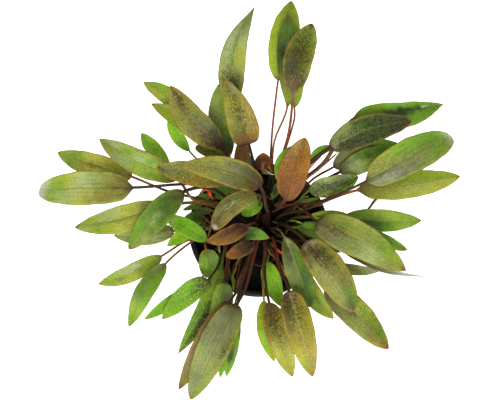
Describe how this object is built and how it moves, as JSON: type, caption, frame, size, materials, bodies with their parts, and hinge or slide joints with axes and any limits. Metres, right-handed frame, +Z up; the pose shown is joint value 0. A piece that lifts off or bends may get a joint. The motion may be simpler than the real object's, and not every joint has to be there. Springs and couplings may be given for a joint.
{
  "type": "potted aquarium plant",
  "caption": "Bushy cryptocoryne, an aquarium plant: a rosette of lance-shaped leaves on long stalks that rises from a small round black net pot.",
  "frame": {"origin": "centre of the pot's flat underside", "axes": "+Z up out of the pot's mouth, +X to the right and +Y away from the picture's camera"},
  "size_m": [0.1595, 0.1582, 0.0983],
  "materials": {
    "pot_plastic": "satin black moulded plastic",
    "growing_medium": "damp dark fibrous medium",
    "stem": "rough reddish brown",
    "leaf_yellow_green": "satin, slightly waxy leaf with veins and mottling",
    "leaf_green": "satin, slightly waxy leaf with veins and mottling",
    "leaf_dark_green": "satin, slightly waxy leaf with veins and mottling",
    "leaf_grey_green": "satin, slightly waxy leaf with veins and mottling",
    "leaf_olive": "satin, slightly waxy leaf with veins and mottling",
    "leaf_brown_olive": "satin, slightly waxy leaf with veins and mottling",
    "leaf_rust_brown": "satin, slightly waxy leaf with veins and mottling"
  },
  "bodies": {
    "root": {"pot": "pot_plastic", "growing_medium": "growing_medium", "stem": "stem", "leaf_n01": "leaf_yellow_green", "leaf_n02": "leaf_dark_green", "leaf_n03": "leaf_olive", "leaf_n04": "leaf_yellow_green", "leaf_n05": "leaf_grey_green", "leaf_n06": "leaf_olive", "leaf_n07": "leaf_green", "leaf_n08": "leaf_olive", "leaf_n09": "leaf_green", "leaf_n10": "leaf_green", "leaf_n11": "leaf_green", "leaf_n12": "leaf_rust_brown", "leaf_n13": "leaf_green", "leaf_w12": "leaf_green", "leaf_w13": "leaf_yellow_green", "leaf_w14": "leaf_olive", "leaf_w15": "leaf_olive", "leaf_w20": "leaf_green", "leaf_w21": "leaf_grey_green", "leaf_w22": "leaf_yellow_green", "leaf_w23": "leaf_yellow_green", "leaf_w24": "leaf_green", "leaf_w25": "leaf_yellow_green", "leaf_w26": "leaf_grey_green", "leaf_c16": "leaf_olive", "leaf_c17": "leaf_rust_brown", "leaf_c18": "leaf_green", "leaf_c19": "leaf_brown_olive", "leaf_s27": "leaf_yellow_green", "leaf_s28": "leaf_green", "leaf_s29": "leaf_green", "leaf_s30": "leaf_green", "leaf_s31": "leaf_green", "leaf_s32": "leaf_green", "leaf_s33": "leaf_grey_green", "leaf_s34": "leaf_grey_green", "leaf_s35": "leaf_brown_olive", "leaf_s36": "leaf_green", "leaf_s38": "leaf_olive", "leaf_s39": "leaf_olive", "leaf_s40": "leaf_yellow_green", "leaf_s41": "leaf_green", "leaf_s42": "leaf_grey_green", "leaf_e43": "leaf_olive", "leaf_e44": "leaf_olive", "leaf_e45": "leaf_yellow_green", "leaf_e46": "leaf_grey_green", "leaf_e47": "leaf_green", "leaf_e48": "leaf_green", "leaf_e49": "leaf_yellow_green", "leaf_e50": "leaf_yellow_green", "leaf_e51": "leaf_grey_green", "leaf_e52": "leaf_dark_green", "leaf_e53": "leaf_brown_olive", "leaf_e54": "leaf_green", "leaf_e55": "leaf_green", "leaf_e65": "leaf_dark_green"}
  },
  "joints": []
}
